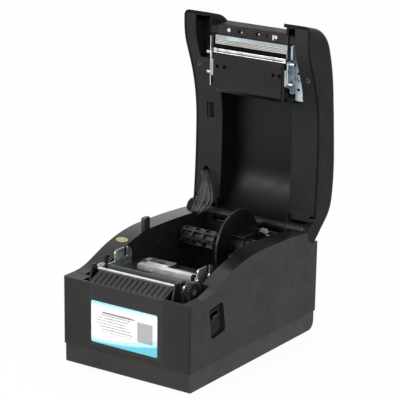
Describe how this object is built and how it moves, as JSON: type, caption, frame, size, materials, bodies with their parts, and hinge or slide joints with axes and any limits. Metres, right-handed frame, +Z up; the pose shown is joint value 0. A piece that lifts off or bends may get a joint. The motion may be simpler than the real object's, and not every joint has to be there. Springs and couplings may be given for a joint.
{
  "type": "label printer",
  "caption": "Desktop thermal label printer with its hinged cover standing open over the roll bin, platen and printhead.",
  "frame": {"origin": "on the surface the feet stand on, midway between the front face and the back of the open cover, halfway across", "axes": "+Z up, +Y from the label exit at the front to the hinge at the rear, +X to the right seen from the front"},
  "size_m": [0.15, 0.2585, 0.3211],
  "materials": {
    "black_plastic": "fine-textured black moulded plastic",
    "liner_plastic": "fine-textured black moulded plastic",
    "panel_plastic": "black moulded plastic",
    "zinc_steel": "bright zinc-plated pressed steel",
    "bright_steel": "ground steel",
    "rail_metal": "plain aluminium",
    "platen_rubber": "ground black rubber",
    "foot_rubber": "soft black rubber",
    "gear_plastic": "natural acetal",
    "dark_trim": "smooth black plastic",
    "spool_plastic": "black moulded plastic",
    "board_green": "dark circuit board",
    "head_alloy": "die-cast alloy",
    "ceramic": "ivory ceramic",
    "lens": "smoked clear plastic",
    "post_plastic": "light grey plastic",
    "cable": "black sleeved wires"
  },
  "bodies": {
    "base": {"base_tray": "black_plastic", "rubber_feet": "foot_rubber", "case_screws": "bright_steel", "main_housing": "black_plastic", "front_bezel": "black_plastic", "front_panel": "panel_plastic", "tear_bar_holder": "dark_trim", "tear_bar": "bright_steel", "platen_bushes": "gear_plastic", "bush_clip": "gear_plastic", "right_side_plate": "zinc_steel", "left_side_plate": "zinc_steel", "stepper_motor": "zinc_steel", "idler_stud": "bright_steel", "paper_guide": "dark_trim", "media_bed": "dark_trim", "sensor_rail": "rail_metal", "guide_post": "post_plastic", "spindle_shaft": "dark_trim", "spindle_holders": "black_plastic", "mainboard": "board_green", "power_socket": "dark_trim", "usb_socket": "zinc_steel", "switch_frame": "dark_trim", "hinge_pin": "bright_steel", "hinge_washers": "bright_steel", "wire_harness": "cable"},
    "cover": {"cover_shell": "black_plastic", "cover_liner": "liner_plastic", "liner_screws": "bright_steel", "sensor_board": "board_green", "board_screws": "bright_steel", "head_bracket": "zinc_steel", "indicator_lens": "lens"},
    "head": {"printhead": "head_alloy", "head_ceramic": "ceramic", "head_cover": "dark_trim"},
    "platen": {"platen_shaft": "bright_steel", "platen_roller": "platen_rubber", "platen_gear": "gear_plastic"},
    "idler": {"idler_gear": "gear_plastic"},
    "pinion": {"motor_pinion": "bright_steel"},
    "latch": {"latch": "zinc_steel"},
    "sensor": {"media_sensor": "post_plastic"},
    "spool": {"spool_core": "spool_plastic"},
    "flange": {"flange_disc": "spool_plastic"},
    "flange_lock": {"flange_lock": "dark_trim"},
    "feed_button": {"feed_button": "dark_trim"},
    "rocker": {"power_rocker": "dark_trim"}
  },
  "joints": [
    {"name": "cover_hinge", "type": "hinge", "parent": "base", "child": "cover", "pos_m": [0, 0.08826, 0.107], "axis": [1, 0, 0], "range_deg": [0, 90], "deforming": ["wire_harness"]},
    {"name": "head_tilt", "type": "hinge", "parent": "cover", "child": "head", "pos_m": [0, 0.08087, 0.2581], "axis": [-1, 0, 0], "range_deg": [0, 2], "stiffness_Nm_per_rad": 20},
    {"name": "platen_turn", "type": "hinge", "parent": "base", "child": "platen", "pos_m": [0, -0.09624, 0.0915], "axis": [1, 0, 0], "continuous": true},
    {"name": "idler_turn", "type": "hinge", "parent": "base", "child": "idler", "pos_m": [0, -0.08631, 0.07322], "axis": [1, 0, 0], "continuous": true},
    {"name": "pinion_turn", "type": "hinge", "parent": "base", "child": "pinion", "pos_m": [0, -0.07323, 0.064], "axis": [1, 0, 0], "continuous": true},
    {"name": "latch_turn", "type": "hinge", "parent": "base", "child": "latch", "pos_m": [0, -0.08723, 0.086], "axis": [-1, 0, 0], "range_deg": [0, 12]},
    {"name": "sensor_slide", "type": "slide", "parent": "base", "child": "sensor", "axis": [1, 0, 0], "range_m": [0, 0.045]},
    {"name": "spool_turn", "type": "hinge", "parent": "base", "child": "spool", "pos_m": [0, 0.04077, 0.094], "axis": [1, 0, 0], "continuous": true},
    {"name": "flange_slide", "type": "slide", "parent": "spool", "child": "flange", "axis": [1, 0, 0], "range_m": [-0.04, 0.014]},
    {"name": "flange_lock_press", "type": "slide", "parent": "flange", "child": "flange_lock", "axis": [0, 0, -1], "range_m": [0, 0.0008], "stiffness_N_per_m": 400},
    {"name": "feed_press", "type": "slide", "parent": "cover", "child": "feed_button", "axis": [0, -1, 0], "range_m": [0, 0.0012], "stiffness_N_per_m": 400},
    {"name": "rocker_tilt", "type": "hinge", "parent": "base", "child": "rocker", "pos_m": [0.067, -0.08374, 0.0635], "axis": [0, -0.9877, -0.1564], "range_deg": [0, 16]}
  ],
  "couplings": [
    {"joint": "idler_turn", "follows": "platen_turn", "ratio": -0.85714},
    {"joint": "pinion_turn", "follows": "platen_turn", "ratio": 2}
  ]
}
